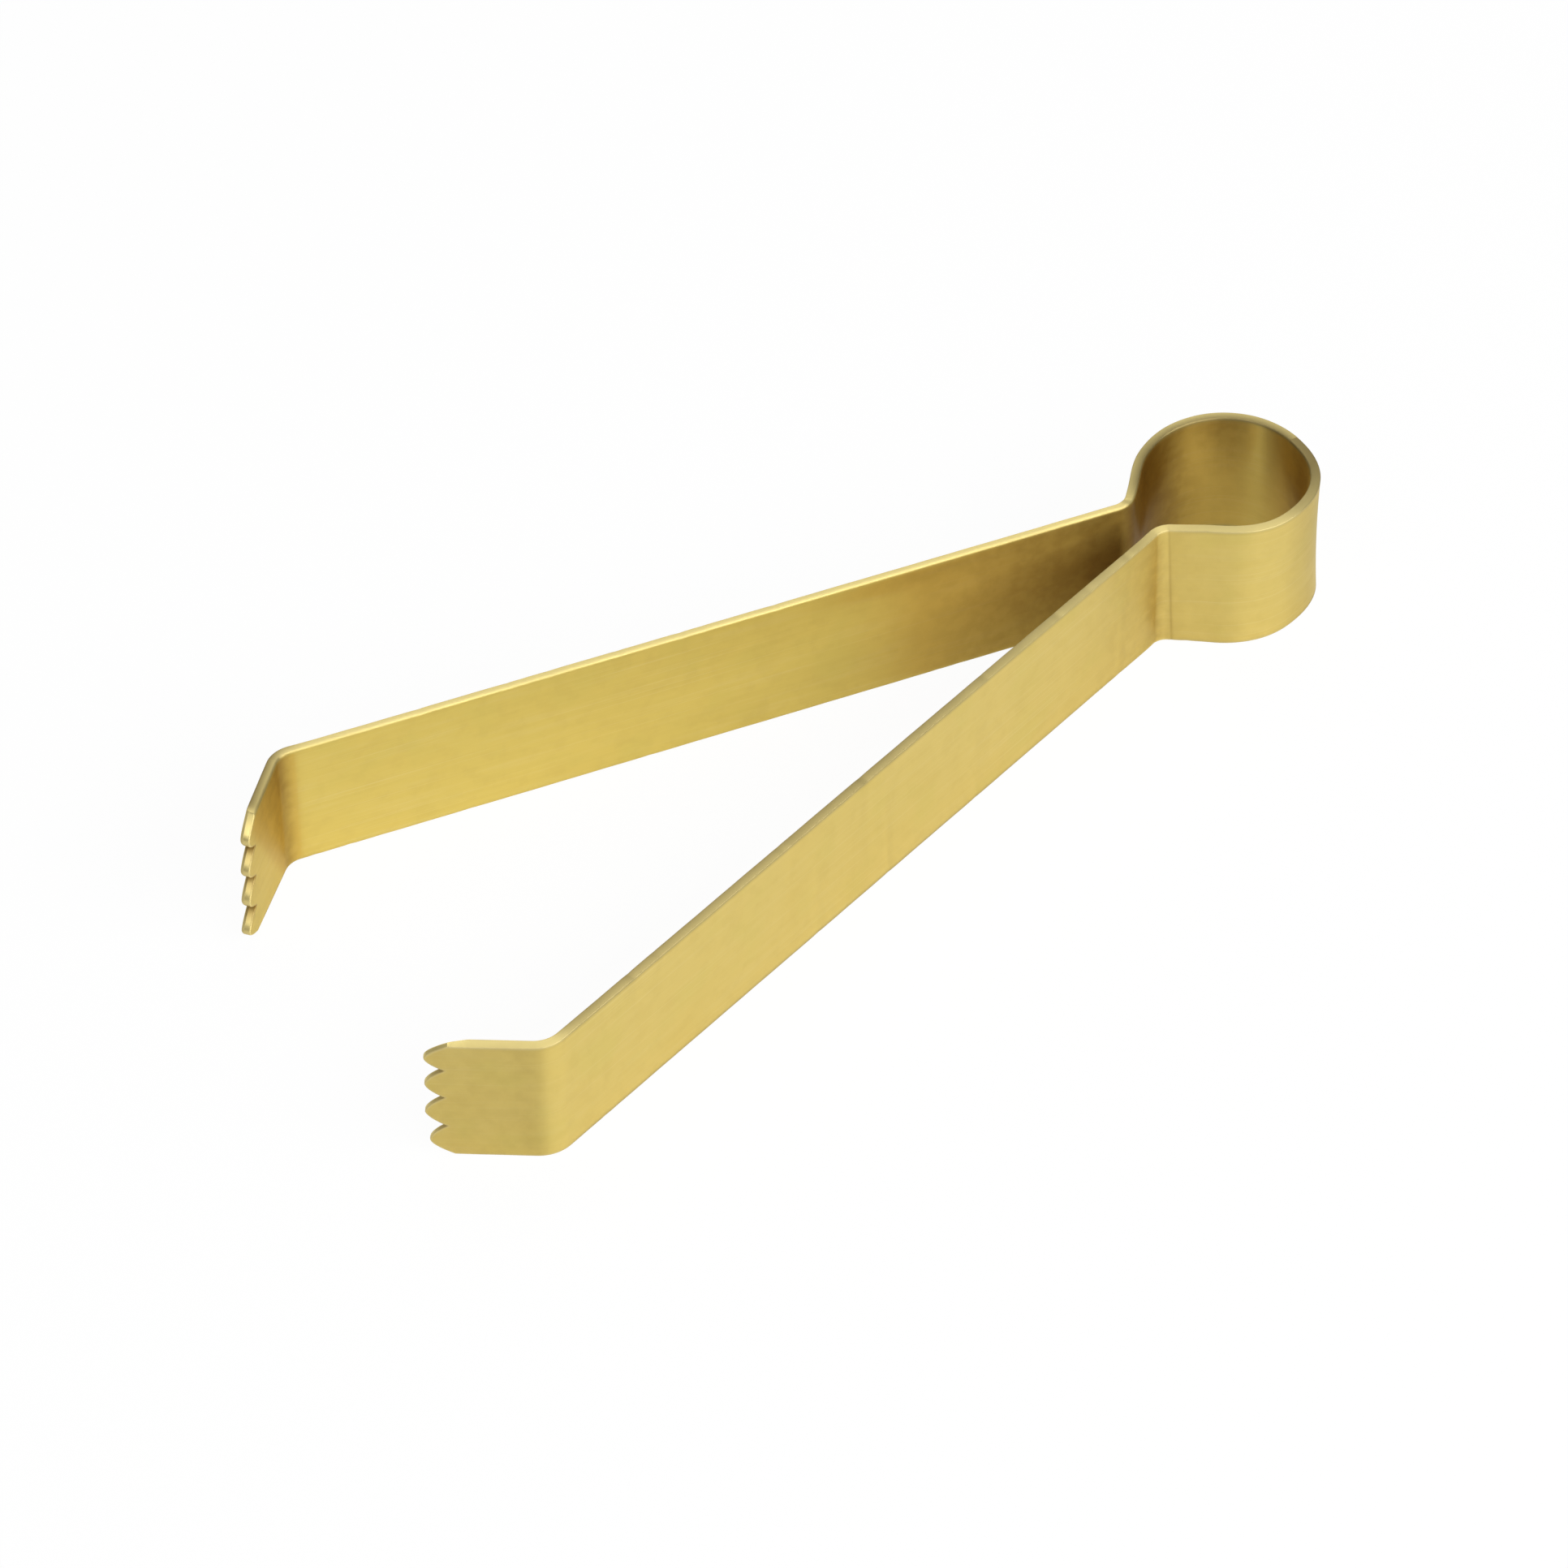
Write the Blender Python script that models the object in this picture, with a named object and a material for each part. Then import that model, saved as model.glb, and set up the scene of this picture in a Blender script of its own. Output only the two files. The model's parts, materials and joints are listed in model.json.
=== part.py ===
"""Sprung incense tongs, bent from one strip of brass and standing on the strip's edge.

The strip makes a round loop at the back, which is the spring, turns in to a narrow neck, runs out as
two splayed flat arms and ends in two jaws that turn in towards each other, each cut into teeth.
It is divided at its formed sections: the loop, and a shoulder, an arm and a jaw on either side.

+X runs from the loop to the jaws, +Y to the left arm and +Z across the strip's width. The origin is
under the middle of the tongs, on the surface that they stand on.
"""

import math

import bmesh
import bpy

# Driving dimensions, in metres and in radians
STRIP_WIDTH = 0.015
STRIP_THICKNESS = 0.001
LOOP_INNER_RADIUS = 0.0081
LOOP_TURN_IN = math.radians(42)
SPRING_HALF_ANGLE = math.radians(100)
MOUTH_LENGTH = 0.0054
NECK_INNER_RADIUS = 0.0007
ARM_SPLAY = math.radians(13.6)
ARM_LENGTH = 0.0877
JAW_INNER_RADIUS = 0.0028
JAW_TURN = math.radians(52)
JAW_LENGTH = 0.0103
TOOTH_COUNT = 4
TOOTH_DEPTH = 0.0018
EDGE_TOOTH_DEPTH = 0.0023
SEAM = 0.0003

# Fineness of the facets
ARC_STEP = math.radians(5)
FLANK_STEPS = 4
SHARP_ANGLE = math.radians(30)

# Sizes that follow from the driving ones
HALF_THICKNESS = STRIP_THICKNESS / 2
LOOP_RADIUS = LOOP_INNER_RADIUS + HALF_THICKNESS
NECK_RADIUS = NECK_INNER_RADIUS + HALF_THICKNESS
JAW_RADIUS = JAW_INNER_RADIUS + HALF_THICKNESS
LEFT = 1
RIGHT = -1
SQUARE_END = [(0.0, 0.0), (STRIP_WIDTH, 0.0)]


def walk(start, moves):
    """Stations (x, y, heading) along the middle of the strip's thickness.

    A move is ("run", length) or ("bend", radius, turn), and a bend to the left has a positive turn.
    """
    x, y, heading = start
    stations = [start]
    for kind, *sizes in moves:
        if kind == "run":
            x += sizes[0] * math.cos(heading)
            y += sizes[0] * math.sin(heading)
            stations.append((x, y, heading))
            continue
        radius, turn = sizes
        arm = math.copysign(radius, turn)
        centre_x = x - arm * math.sin(heading)
        centre_y = y + arm * math.cos(heading)
        steps = math.ceil(abs(turn) / ARC_STEP)
        first_heading = heading
        for step in range(1, steps + 1):
            heading = first_heading + turn * step / steps
            x = centre_x + arm * math.sin(heading)
            y = centre_y - arm * math.cos(heading)
            stations.append((x, y, heading))
    return stations


def on_loop(angle):
    """Station on the loop, at an angle round its centre from the middle of its back."""
    x = -LOOP_RADIUS * math.cos(angle)
    y = LOOP_RADIUS * math.sin(angle)
    return x, y, math.pi / 2 - angle


def shoulder_stations():
    """End of the loop past the spring, the run in to the mouth and the neck bend."""
    first_angle = SPRING_HALF_ANGLE + SEAM / LOOP_RADIUS
    rest_of_loop = math.pi / 2 + LOOP_TURN_IN - first_angle
    return walk(on_loop(first_angle), [
        ("bend", LOOP_RADIUS, -rest_of_loop),
        ("run", MOUTH_LENGTH),
        ("bend", NECK_RADIUS, LOOP_TURN_IN + ARM_SPLAY),
    ])


def arm_stations():
    """Flat arm between the neck and jaw bends, a seam short at either end."""
    first = walk(shoulder_stations()[-1], [("run", SEAM)])[-1]
    return walk(first, [("run", ARM_LENGTH - 2 * SEAM)])


def jaw_stations():
    """Inward bend and the straight end that carries the teeth."""
    first = walk(arm_stations()[-1], [("run", SEAM)])[-1]
    return walk(first, [("bend", JAW_RADIUS, -JAW_TURN), ("run", JAW_LENGTH)])


def tooth_line():
    """Heights across the strip, each with its distance behind the tooth tips.

    A flank is a parabola from a round tip to a sharp root. The first and last flanks run deeper,
    because the strip's corners are eased.
    """
    intervals = 2 * FLANK_STEPS * TOOTH_COUNT
    line = []
    for index in range(intervals + 1):
        share = (index % (2 * FLANK_STEPS)) / FLANK_STEPS - 1
        at_edge = index < FLANK_STEPS or index > intervals - FLANK_STEPS
        depth = EDGE_TOOTH_DEPTH if at_edge else TOOTH_DEPTH
        line.append((STRIP_WIDTH * index / intervals, depth * share ** 2))
    return line


def rung(mesh, station, side, offset, end_line):
    """Points up the strip's width at one station, on the face at an offset from the middle."""
    x, y, heading = station
    x -= offset * math.sin(heading)
    y += offset * math.cos(heading)
    points = []
    for height, setback in end_line:
        along = x - setback * math.cos(heading)
        across = y - setback * math.sin(heading)
        points.append(mesh.verts.new((along, side * across, height)))
    return points


def strip_solid(stations, side, end_line):
    """Closed solid of the strip along its stations, with its last end cut to the end line."""
    mesh = bmesh.new()
    rungs = []
    for station in stations:
        line = end_line if station is stations[-1] else SQUARE_END
        outer = rung(mesh, station, side, HALF_THICKNESS, line)
        inner = rung(mesh, station, side, -HALF_THICKNESS, line)
        rungs.append((outer, inner))
    for (outer, inner), (next_outer, next_inner) in zip(rungs, rungs[1:]):
        mesh.faces.new(outer + next_outer[::-1])
        mesh.faces.new(inner + next_inner[::-1])
        for edge in (0, -1):
            mesh.faces.new((outer[edge], next_outer[edge], next_inner[edge], inner[edge]))
    for outer, inner in (rungs[0], rungs[-1]):
        for index in range(len(outer) - 1):
            mesh.faces.new((outer[index], outer[index + 1], inner[index + 1], inner[index]))
    bmesh.ops.recalc_face_normals(mesh, faces=mesh.faces)
    return mesh


def brass(name, colour, roughness):
    """Satin brass for one section of the strip."""
    material = bpy.data.materials.new(name + "_brass")
    material.use_nodes = True
    shader = material.node_tree.nodes["Principled BSDF"]
    shader.inputs["Base Color"].default_value = (*colour, 1.0)
    shader.inputs["Metallic"].default_value = 1.0
    shader.inputs["Roughness"].default_value = roughness
    return material


def add_section(name, parent, solid, material):
    """Object of one section, whose origin is on the loop's axis."""
    data = bpy.data.meshes.new(name)
    solid.to_mesh(data)
    solid.free()
    data.shade_smooth()
    data.set_sharp_from_angle(angle=SHARP_ANGLE)
    data.materials.append(material)
    section = bpy.data.objects.new(name, data)
    section.parent = parent
    bpy.context.collection.objects.link(section)


def add_axis(name, x):
    """Empty on the loop's axis, which carries the sections that flex together."""
    axis = bpy.data.objects.new(name, None)
    axis.location.x = x
    bpy.context.collection.objects.link(axis)
    return axis


def loop_centre_x():
    """Place of the loop's axis that puts the origin under the middle of the tongs."""
    tip_x, _, heading = jaw_stations()[-1]
    reach = tip_x - HALF_THICKNESS * math.sin(heading)
    back = LOOP_RADIUS + HALF_THICKNESS
    return (back - reach) / 2


def build():
    """The loop and both sides of the tongs."""
    for leftover in list(bpy.data.objects):
        bpy.data.objects.remove(leftover, do_unlink=True)
    centre_x = loop_centre_x()
    spring = walk(on_loop(-SPRING_HALF_ANGLE), [("bend", LOOP_RADIUS, -2 * SPRING_HALF_ANGLE)])
    add_section(
        "spring_loop", add_axis("loop_axis", centre_x),
        strip_solid(spring, LEFT, SQUARE_END), brass("spring_loop", (0.72, 0.55, 0.24), 0.30))
    for side_name, side in (("left", LEFT), ("right", RIGHT)):
        axis = add_axis(side_name + "_flex_axis", centre_x)
        sections = (
            ("shoulder", shoulder_stations(), SQUARE_END, (0.72, 0.55, 0.24), 0.30),
            ("arm", arm_stations(), SQUARE_END, (0.74, 0.58, 0.26), 0.33),
            ("jaw", jaw_stations(), tooth_line(), (0.73, 0.57, 0.25), 0.33),
        )
        for section, stations, end_line, colour, roughness in sections:
            name = side_name + "_" + section
            add_section(name, axis, strip_solid(stations, side, end_line), brass(name, colour, roughness))


build()
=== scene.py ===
# %% [markdown]
# Incense tongs, bent from one strip of satin brass
# The real tongs are a single strip: a round loop at the back is the spring, two flat arms run out from
# its neck, and the ends turn in and are cut into teeth. This lesson makes that strip as a surface worked
# out with numpy and gives it a brushed brass finish.

# %% Load the frame
import json
import math
from collections import namedtuple

import bpy
import numpy as np
from mathutils import Matrix, Vector


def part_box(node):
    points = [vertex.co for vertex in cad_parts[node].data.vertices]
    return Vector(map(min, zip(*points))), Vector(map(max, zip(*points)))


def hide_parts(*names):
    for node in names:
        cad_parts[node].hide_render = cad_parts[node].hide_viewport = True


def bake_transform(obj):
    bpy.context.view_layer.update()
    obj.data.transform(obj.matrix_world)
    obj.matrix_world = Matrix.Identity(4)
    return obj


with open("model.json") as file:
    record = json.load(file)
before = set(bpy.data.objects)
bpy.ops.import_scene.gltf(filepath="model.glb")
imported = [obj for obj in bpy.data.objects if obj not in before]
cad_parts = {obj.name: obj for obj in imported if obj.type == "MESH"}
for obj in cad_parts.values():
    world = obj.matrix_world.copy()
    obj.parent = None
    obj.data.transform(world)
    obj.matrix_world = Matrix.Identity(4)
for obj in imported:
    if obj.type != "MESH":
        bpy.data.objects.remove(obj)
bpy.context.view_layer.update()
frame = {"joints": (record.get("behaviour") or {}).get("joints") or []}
joints = {joint["name"]: joint for joint in frame["joints"]}
loop_centre = np.array(joints["left_flex"]["pos_m"])

# %% [markdown]
# The strip and its path
# A bent strip is easiest to think of unrolled: a flat ribbon with a distance along it, a height across it
# and a thickness. What bends it is its curvature, which is constant in each stretch: the loop, the run in
# to the mouth, the neck, the arm, the jaw's bend and the jaw. A curve with a bevel could follow the same
# path, but a worked-out surface lets every point know where it lies on the ribbon, which the finish needs.
# The sizes are those of the solid model. The strip was bent by eye, so the neck is softer than the solid's,
# the loop turns in further on the left than on the right, and the right jaw's bend is sharper and comes
# early. Both arms still lie where the solids have them, and the cells print the misfit.

# %% Sizes of the strip
strip_low, strip_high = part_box("left_arm")
WIDTH = strip_high.z - strip_low.z
THICKNESS = 0.001
LOOP_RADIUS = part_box("spring_loop")[1].y - THICKNESS / 2
LOOP_TURN_IN = math.radians(42)
MOUTH_LENGTH = 0.0054
NECK_INNER_RADIUS = 0.0007
NECK_RADIUS = NECK_INNER_RADIUS + THICKNESS / 2
ARM_SPLAY = math.radians(13.6)
ARM_LENGTH = 0.0877
JAW_INNER_RADIUS = 0.0028
JAW_RADIUS = JAW_INNER_RADIUS + THICKNESS / 2
JAW_TURN = math.radians(52)
JAW_LENGTH = 0.0103
print("strip %.1f mm wide, loop of %.2f mm radius" % (1000 * WIDTH, 1000 * LOOP_RADIUS))

# %% Bends of each side
MIRROR = {"left": 1, "right": -1}
SIDE_TURN_IN = {"left": math.radians(43.6), "right": math.radians(40.4)}
SIDE_NECK_RADIUS = {"left": 0.0021, "right": 0.0024}
SIDE_JAW_RADIUS = {"left": JAW_RADIUS, "right": 0.0029}
EARLY_BEND = {"left": 0.0, "right": 0.0003}
for side in MIRROR:
    print("%s side: neck of %.1f mm radius, jaw bend of %.1f mm, %.1f mm early" % (
        side, 1000 * SIDE_NECK_RADIUS[side], 1000 * SIDE_JAW_RADIUS[side], 1000 * EARLY_BEND[side]))

# %% Lengths of the mouth, the arm and the jaw


def bend_cut(turn, radius):
    """Length that a bend takes off each of the two lines that it joins."""
    return radius * math.tan(turn / 2)


def arm_start(neck_turn, radius, arm_offset):
    """Distance from the loop's centre, along the arm's line, at which the arm begins.

    The mouth's line touches the loop and crosses the arm's line in a corner, which the neck rounds off.
    """
    corner = (LOOP_RADIUS - arm_offset * math.cos(neck_turn)) / math.sin(neck_turn)
    return corner + bend_cut(neck_turn, radius)


solid_turn = LOOP_TURN_IN + ARM_SPLAY
solid_mouth = MOUTH_LENGTH + bend_cut(solid_turn, NECK_RADIUS)
arm_offset = LOOP_RADIUS * math.cos(solid_turn) - solid_mouth * math.sin(solid_turn)
arm_end = arm_start(solid_turn, NECK_RADIUS, arm_offset) + ARM_LENGTH


def straight_lengths(side):
    """Lengths of one side's mouth, arm and jaw.

    The arm lies on the solid's line. Its corner with the jaw's line may come early, and what a sharper jaw
    bend leaves over goes to the arm and to the jaw.
    """
    neck_turn = SIDE_TURN_IN[side] + ARM_SPLAY
    radius = SIDE_NECK_RADIUS[side]
    to_corner = (LOOP_RADIUS * math.cos(neck_turn) - arm_offset) / math.sin(neck_turn)
    left_over = bend_cut(JAW_TURN, JAW_RADIUS - SIDE_JAW_RADIUS[side])
    arm = arm_end - arm_start(neck_turn, radius, arm_offset) - EARLY_BEND[side] + left_over
    return to_corner - bend_cut(neck_turn, radius), arm, JAW_LENGTH + left_over


for side in MIRROR:
    sizes = 1000 * np.array(straight_lengths(side))
    print("%s mouth %.2f mm, arm %.2f mm and jaw %.2f mm" % (side, *sizes))

# %% Path of the strip's middle
LOOP, MOUTH, NECK, ARM, BEND, JAW, TIP = range(7)
HalfPath = namedtuple("HalfPath", "starts curvatures corners")


def stretch(first, curvature, distance):
    """Position and heading after a distance of constant curvature.

    The heading grows by curvature times distance, and the position is the integral of its cosine
    and sine, which for a straight stretch is the distance itself along the heading.
    """
    x, y, heading = first
    turned = heading + curvature * distance
    bent = np.abs(curvature) > 0
    safe = np.where(bent, curvature, 1)
    along_x = np.where(bent, (np.sin(turned) - np.sin(heading)) / safe, distance * np.cos(heading))
    along_y = np.where(bent, (np.cos(heading) - np.cos(turned)) / safe, distance * np.sin(heading))
    return x + along_x, y + along_y, turned


def half_path(side):
    """Distances at which the stretches of one half start, their curvatures and where they start."""
    turn_in = SIDE_TURN_IN[side]
    neck_radius, jaw_radius = SIDE_NECK_RADIUS[side], SIDE_JAW_RADIUS[side]
    mouth, arm, jaw = straight_lengths(side)
    lengths = [
        LOOP_RADIUS * (math.pi / 2 + turn_in), mouth, neck_radius * (turn_in + ARM_SPLAY), arm,
        jaw_radius * JAW_TURN, jaw]
    curvatures = [-1 / LOOP_RADIUS, 0, 1 / neck_radius, 0, -1 / jaw_radius, 0]
    corners = [(loop_centre[0] - LOOP_RADIUS, 0.0, math.pi / 2)]
    for length, curvature in zip(lengths, curvatures):
        corners.append(tuple(float(value) for value in stretch(corners[-1], curvature, length)))
    starts = np.concatenate([[0], np.cumsum(lengths)])
    return HalfPath(starts, np.array(curvatures), np.array(corners))


def midline(path, s):
    """Plan x, y and heading at distances s from the loop's back, as on the left half of the strip."""
    index = np.clip(np.searchsorted(path.starts, s, side="right") - 1, LOOP, JAW)
    first = np.moveaxis(path.corners[index], -1, 0)
    return stretch(first, path.curvatures[index], s - path.starts[index])


paths = {side: half_path(side) for side in MIRROR}

# %% [markdown]
# Teeth and edges
# Each end of the strip has teeth with round tips and sharp roots. They were filed by eye, so their lengths
# and roots vary. The file also rounded the right tips from outside and bevelled the left ones from inside.
# Shearing and rubbing rounded the right arm's inner edge more than the other edges. A Bevel modifier would
# round all edges alike. Here half the thickness is a function of the distance to the ribbon's edge: far from
# the edge it is constant, within the edge's radius it follows a quarter circle, and a bevel takes off more.

# %% Tooth line
TOOTH_COUNT = 4
TOOTH_DEPTH = 0.0018
CORNER_DEPTH = 0.0023
TOOTH_POWER = 1.7
SHORT_TEETH = {"left": (0.00028, 0.0, 0.00014, 0.00022), "right": (0.0001, 0.0006, 0.0009, 0.0014)}
RAISED_ROOTS = {"left": (0.0002, 0.0004, 0.0004), "right": (0.0, 0.0, 0.0)}
tooth_pitch = WIDTH / TOOTH_COUNT
even_roots = np.arange(TOOTH_COUNT + 1) * tooth_pitch


def tooth_places(z, side):
    """Heights counted in teeth, the share of the way from tip to root there, and what is on a corner."""
    roots = even_roots + np.array([0, *RAISED_ROOTS[side], 0])
    place = np.interp(z, roots, np.arange(TOOTH_COUNT + 1))
    on_corner = (place < 0.5) | (place > TOOTH_COUNT - 0.5)
    return place, np.abs(place % 1 * 2 - 1), on_corner


def tooth_line(z, side):
    """Distance of the strip's end behind the longest tip, at heights z.

    Within a tooth it is the depth times the share of the way from the tip to the root, raised to a power,
    and the teeth's own shortness is drawn straight from tip to tip.
    """
    place, share, on_corner = tooth_places(z, side)
    depth = np.where(on_corner, CORNER_DEPTH, TOOTH_DEPTH)
    return depth * share ** TOOTH_POWER + np.interp(place, np.arange(TOOTH_COUNT) + 0.5, SHORT_TEETH[side])


for side in MIRROR:
    tips = tooth_line(even_roots[:-1] + tooth_pitch / 2, side)
    print(side, "teeth end short of the longest by mm", (1000 * tips).round(2))

# %% Edge rounding
OUTER, INNER = 1, -1
LOOP_EDGE_RADIUS = {OUTER: 0.00010, INNER: 0.00016}
ARM_EDGE_RADIUS = {
    ("left", OUTER): 0.00010, ("left", INNER): 0.00018, ("right", OUTER): 0.00014, ("right", INNER): 0.00030}
TIP_RADIUS = {
    ("left", OUTER): 0.00010, ("left", INNER): 0.00012, ("right", OUTER): 0.00034, ("right", INNER): 0.00016}
FILED_DEPTH = {("left", OUTER): 0.0, ("left", INNER): 0.00052, ("right", OUTER): 0.0, ("right", INNER): 0.0}
FILED_LENGTH = 0.0009
EDGE_BAND = max(ARM_EDGE_RADIUS.values())
TIP_BAND = max(TIP_RADIUS.values())
EDGE_FADE = 0.0015


def fade(s, place, length):
    """Share that goes smoothly from nought before a place to one past it, over a length."""
    return 1 / (1 + np.exp(-(s - place) / length))


def between(low, high, share):
    """Value at a share of the way from one value to another."""
    return low + (high - low) * share


def edge_radius(side, s, face):
    """Radius of a long edge, which changes from the loop's to the arm's at the neck."""
    on_arm = fade(s, paths[side].starts[NECK], EDGE_FADE)
    return between(LOOP_EDGE_RADIUS[face], ARM_EDGE_RADIUS[side, face], on_arm)


def half_thickness(edge_distance, radius):
    """Half the thickness at a distance from the ribbon's edge: a quarter circle, then constant."""
    rest = np.clip(1 - edge_distance / radius, 0, 1)
    return THICKNESS / 2 - radius * (1 - np.sqrt(1 - rest ** 2))


def filed_off(side, to_teeth, face):
    """Thickness that the file took off a face, growing evenly from a short way behind the teeth to them."""
    return FILED_DEPTH[side, face] * np.clip(1 - to_teeth / FILED_LENGTH, 0, 1)


print("edges round over up to %.2f mm, tips up to %.2f mm" % (1000 * EDGE_BAND, 1000 * TIP_BAND))

# %% [markdown]
# The grid
# One grid serves the outer and the inner face. Its rows follow the strip and its columns go up the width.
# An even grid fine enough for the edges would waste most of its points on the flat arms, so rows lie close
# where the strip bends, at the press mark and at the tips, and columns lie close at the edges and follow
# the teeth.

# %% Rows and columns of the grid
ROUND_STEPS = 8
FLANK_STEPS = 8
JAW_STEPS = 27
SEAM_ROWS = np.array([0, 0.00002, 0.00006, 0.00014])
FIRST_ROW = 0.0003
ROW_STEPS = {LOOP: 0.00025, MOUTH: 0.0001, NECK: 0.00006, ARM: 0.00035, BEND: 0.0001}
EDGE_MARGIN = 1.2 * EDGE_BAND
quarter = 1 - np.cos(np.linspace(0, math.pi / 2, ROUND_STEPS + 1))
root_heights = [even_roots[1:-1] + np.array(raised) for raised in RAISED_ROOTS.values()]
edge_columns = EDGE_BAND * quarter
tooth_columns = np.linspace(0, WIDTH, 2 * FLANK_STEPS * TOOTH_COUNT + 1)
tooth_columns = np.unique(np.concatenate([tooth_columns, *root_heights]).round(6))
inside = (tooth_columns > EDGE_MARGIN) & (tooth_columns < WIDTH - EDGE_MARGIN)
columns = np.concatenate([edge_columns, tooth_columns[inside], WIDTH - edge_columns[::-1]])


def spaced(start, end, step):
    """Distances from start up to, but not including, end, at most a step apart and two or more."""
    return np.linspace(start, end, max(2, math.ceil((end - start) / step)) + 1)[:-1]


def rows_before_jaw(path):
    """Distances of the rows from the loop's back up to the straight part of the jaw."""
    ends = np.concatenate([[FIRST_ROW], path.starts[MOUTH:]])
    stretches = [spaced(ends[index], ends[index + 1], step) for index, step in ROW_STEPS.items()]
    return np.concatenate([SEAM_ROWS, *stretches])


jaw_rows = np.linspace(0, 1, JAW_STEPS + 1)[:-1]
for side, path in paths.items():
    row_count = len(rows_before_jaw(path)) + JAW_STEPS + ROUND_STEPS + 1
    print("%s grid of %d rows and %d columns" % (side, row_count, len(columns)))

# %% [markdown]
# Marks of making
# Bending leaves marks, and without them the strip would look drawn by a machine. The loop's middle is
# drawn in between its edges, as any strip's is when it is bent round its flat side, and it was closed by hand
# and isn't quite round. The right jaw's bend isn't square, so its upper corner turns in more.
# The press left a fine line where the neck begins. The shear left the edges slightly wavy, with a few small
# nicks, and the upper one leaning in or out. Each mark is an offset or an inset of the ribbon, a formula of
# the place on it. Sculpting could make them too, but not the same again. All stay in the solids' box.

# %% Shape of the loop
LOOP_WAIST = 0.00018
WAIST_FADE = 0.0009
FLAT_DEPTH = 0.00056
FLAT_PLACE = math.radians(130)
FLAT_SPREAD = math.radians(30)
FLAT_LOW_SHARE = 0.35
BULGE_HEIGHT = 0.00045
BULGE_SPAN = math.radians(80)
BULGE_HIGH_SHARE = 0.7
MOUTH_BULGE = 0.00022
MOUTH_BULGE_PLACE = 0.0008
MOUTH_BULGE_SPREAD = 0.0024


def bell(value, place, spread):
    """Bell curve: one at its place, and falling with the square of the distance in spreads."""
    return np.exp(-((value - place) / spread) ** 2)


def waist(path, s, z):
    """Inward offset of the loop's middle: a parabola across the width, fading out at the neck."""
    across = 1 - (2 * z / WIDTH - 1) ** 2
    return LOOP_WAIST * across * fade(s, path.starts[NECK], -WAIST_FADE)


def hand_bend(side, s, z):
    """Outward offset of one half of the loop from its path.

    On the right there is a bulge at the mouth, a bell curve. On the left, past the back, there is one that is
    a squared sine of the angle round the loop and highest at the lower edge, and before the mouth a flat,
    a bell curve that is deepest at the upper edge.
    """
    if side == "right":
        return MOUTH_BULGE * bell(s, paths[side].starts[MOUTH] + MOUTH_BULGE_PLACE, MOUTH_BULGE_SPREAD)
    angle, up = s / LOOP_RADIUS, z / WIDTH
    bulge = BULGE_HEIGHT * np.sin(math.pi * np.clip(angle / BULGE_SPAN, 0, 1)) ** 2
    flat = FLAT_DEPTH * bell(angle, FLAT_PLACE, FLAT_SPREAD)
    return bulge * between(1, BULGE_HIGH_SHARE, up) - flat * between(FLAT_LOW_SHARE, 1, up)


depths = np.array([LOOP_WAIST, FLAT_DEPTH, BULGE_HEIGHT, MOUTH_BULGE])
print("waist, flat, bulge and bulge at the mouth in mm:", (1000 * depths).round(2))

# %% Twist of the right jaw
TWIST = {"left": 0.0, "right": 0.00045}
TWIST_POWER = 1.3


def jaw_twist(side, s, z):
    """Inward offset of a jaw: a power of the way from its bend to its tips, and most at the top."""
    starts = paths[side].starts
    way = np.clip((s - starts[BEND]) / (starts[TIP] - starts[BEND]), 0, 1)
    return TWIST[side] * way ** TWIST_POWER * z / WIDTH


for side, twist in TWIST.items():
    print("%s jaw turned in by %.1f degrees more at the top" % (side, math.degrees(twist / JAW_LENGTH)))

# %% Press mark and edges
PRESS_DEPTH = 0.000025
PRESS_WIDTH = 0.00014
PRESS_SLANT = 0.0007
PRESS_FADE = 0.45
WAVE_DEPTH = 0.000035
WAVE_LENGTHS = (0.031, 0.013, 0.0047)
NICK_DEPTH = 0.00005
NICK_WIDTH = 0.0004
NICK_COUNT = 9
NICK_LEAST = 0.3
LOOP_LEAN = -0.00008
ARM_LEAN = {"left": 0.00003, "right": -0.00022}
JAW_LEAN = {"left": -0.00016, "right": 0.00010}
LEAN_FADE = 0.0012
EDGE_SEEDS = {"left": (11, 12), "right": (13, 14)}


def press_mark(path, s, z):
    """Share of the press mark's depth: a bell curve about a line where the neck's bend begins.

    The line slants towards the arm as it goes up, and its depth falls evenly with the height.
    """
    up = z / WIDTH
    return bell(s, path.starts[NECK] + PRESS_SLANT * (up - 0.5), PRESS_WIDTH) * (1 - PRESS_FADE * up)


def edge_inset(path, s, seed):
    """How far an edge lies inside the full width: sine waves and a few bell-shaped nicks."""
    draw = np.random.default_rng(seed)
    waves = np.zeros_like(s)
    for length in WAVE_LENGTHS:
        waves += np.sin(2 * math.pi * (s / length + draw.random())) / len(WAVE_LENGTHS)
    places = draw.uniform(path.starts[MOUTH], path.starts[BEND], NICK_COUNT)
    depths = NICK_DEPTH * draw.uniform(NICK_LEAST, 1, NICK_COUNT)
    nicks = bell(s[..., None], places, NICK_WIDTH) @ depths
    return WAVE_DEPTH * (1 + waves) / 2 + nicks


def edge_lean(side, s):
    """How much lower the upper edge is on the inner face than on the outer one.

    It goes smoothly from its value on the loop to that on the arm at the neck, and from there to that on
    the jaw in the jaw's bend.
    """
    starts = paths[side].starts
    on_arm = fade(s, starts[NECK], LEAN_FADE)
    on_jaw = fade(s, (starts[BEND] + starts[JAW]) / 2, LEAN_FADE)
    return between(LOOP_LEAN, ARM_LEAN[side], on_arm) + (JAW_LEAN[side] - ARM_LEAN[side]) * on_jaw


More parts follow.
